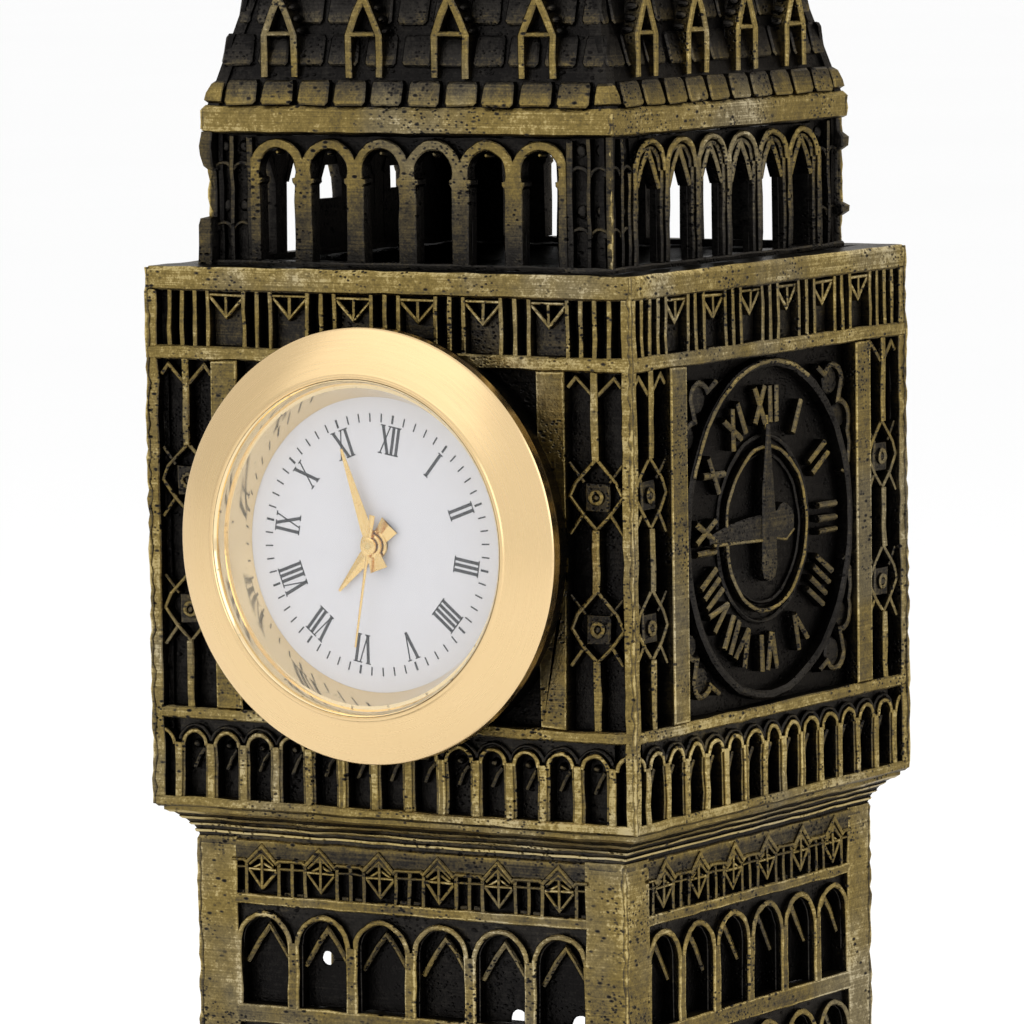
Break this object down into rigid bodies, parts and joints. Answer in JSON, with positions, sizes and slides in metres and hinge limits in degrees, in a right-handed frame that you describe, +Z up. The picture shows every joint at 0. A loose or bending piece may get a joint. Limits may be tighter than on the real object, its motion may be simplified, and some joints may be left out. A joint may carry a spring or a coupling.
{
  "type": "souvenir clock tower",
  "caption": "Free-standing miniature Gothic clock tower in cast metal, with a quartz insert clock pressed into its front and cast dials on the other sides.",
  "frame": {"origin": "centre of the underside, on the tower's vertical axis", "axes": "+Z up along the tower, -Y towards the side with the insert clock, +X to the right seen from that side"},
  "size_m": [0.062, 0.062, 0.25],
  "materials": {
    "antique_brass": "brass plated cast zinc, blackened in the recesses and rubbed back on the high edges",
    "dark_roof": "brass plated cast zinc, mostly blackened",
    "gold": "fine circular brushed gold plating",
    "wheel_brass": "plain machined brass",
    "steel": "brushed",
    "dial_white": "printed satin white",
    "glass": "clear mineral glass",
    "black_plastic": "moulded",
    "white_plastic": "moulded",
    "rubber": "soft",
    "felt": "felt",
    "copper": "enamelled copper wire",
    "board": "printed circuit board"
  },
  "bodies": {
    "tower": {"felt_pad": "felt", "base_plate": "steel", "base_screws": "steel", "plinth": "antique_brass", "shaft_front_panel": "antique_brass", "shaft_right_panel": "antique_brass", "shaft_back_panel": "antique_brass", "shaft_left_panel": "antique_brass", "stage_front_panel": "antique_brass", "stage_right_panel": "antique_brass", "stage_back_panel": "antique_brass", "stage_left_panel": "antique_brass", "belfry_floor": "dark_roof", "belfry_front_panel": "antique_brass", "belfry_right_panel": "antique_brass", "belfry_back_panel": "antique_brass", "belfry_left_panel": "antique_brass", "roof_front_panel": "dark_roof", "roof_right_panel": "dark_roof", "roof_back_panel": "dark_roof", "roof_left_panel": "dark_roof", "lantern": "antique_brass", "spire": "dark_roof", "finial": "antique_brass"},
    "insert": {"bezel": "gold", "crystal": "glass", "dial": "dial_white", "clock_case": "black_plastic", "grip_ring": "rubber", "back_cover": "black_plastic", "movement_ring": "white_plastic", "main_plate": "wheel_brass", "train_bridge": "steel", "movement_screws": "steel", "battery": "steel", "battery_strap": "steel", "coil": "copper", "stator": "steel", "circuit_board": "board", "quartz_can": "steel"},
    "seconds": {"seconds_hand": "gold", "fourth_wheel": "wheel_brass"},
    "rotor_body": {"rotor": "steel"},
    "fifth": {"fifth_wheel": "wheel_brass"},
    "third": {"third_wheel": "wheel_brass"},
    "centre": {"centre_wheel": "wheel_brass"},
    "minute": {"minute_hand": "gold", "cannon_pinion": "wheel_brass"},
    "motion_wheel": {"minute_wheel": "wheel_brass"},
    "hour": {"hour_hand": "gold", "hour_wheel": "wheel_brass"},
    "stem": {"setting_stem": "steel"},
    "crown": {"crown": "gold"}
  },
  "joints": [
    {"name": "insert_pull", "type": "slide", "parent": "tower", "child": "insert", "axis": [0, -1, 0], "range_m": [0, 0.012]},
    {"name": "seconds_turn", "type": "hinge", "parent": "insert", "child": "seconds", "pos_m": [0, -0.0265, 0.1375], "axis": [0, 1, 0], "continuous": true},
    {"name": "fifth_turn", "type": "hinge", "parent": "insert", "child": "fifth", "pos_m": [0.00336, -0.0205, 0.13473], "axis": [0, 1, 0], "continuous": true},
    {"name": "rotor_turn", "type": "hinge", "parent": "insert", "child": "rotor_body", "pos_m": [0.00532, -0.0205, 0.13311], "axis": [0, 1, 0], "continuous": true},
    {"name": "third_turn", "type": "hinge", "parent": "insert", "child": "third", "pos_m": [0.00068, -0.0215, 0.14154], "axis": [0, 1, 0], "continuous": true},
    {"name": "centre_turn", "type": "hinge", "parent": "insert", "child": "centre", "pos_m": [0, -0.022, 0.1375], "axis": [0, 1, 0], "continuous": true},
    {"name": "minute_turn", "type": "hinge", "parent": "insert", "child": "minute", "pos_m": [0, -0.0259, 0.1375], "axis": [0, 1, 0], "continuous": true},
    {"name": "motion_wheel_turn", "type": "hinge", "parent": "insert", "child": "motion_wheel", "pos_m": [0.00301, -0.0242, 0.137], "axis": [0, 1, 0], "continuous": true},
    {"name": "hour_turn", "type": "hinge", "parent": "insert", "child": "hour", "pos_m": [0, -0.0255, 0.1375], "axis": [0, 1, 0], "continuous": true},
    {"name": "stem_pull", "type": "slide", "parent": "insert", "child": "stem", "axis": [0.9863, 0, -0.165], "range_m": [0, 0.0005]},
    {"name": "crown_turn", "type": "hinge", "parent": "stem", "child": "crown", "pos_m": [0.01479, -0.02305, 0.13502], "axis": [0.9863, 0, -0.165], "continuous": true}
  ],
  "couplings": [
    {"joint": "fifth_turn", "follows": "seconds_turn", "ratio": -5},
    {"joint": "rotor_turn", "follows": "seconds_turn", "ratio": 30},
    {"joint": "third_turn", "follows": "seconds_turn", "ratio": -0.13333},
    {"joint": "centre_turn", "follows": "seconds_turn", "ratio": 0.016667},
    {"joint": "motion_wheel_turn", "follows": "minute_turn", "ratio": -0.33333},
    {"joint": "hour_turn", "follows": "minute_turn", "ratio": 0.083333}
  ]
}
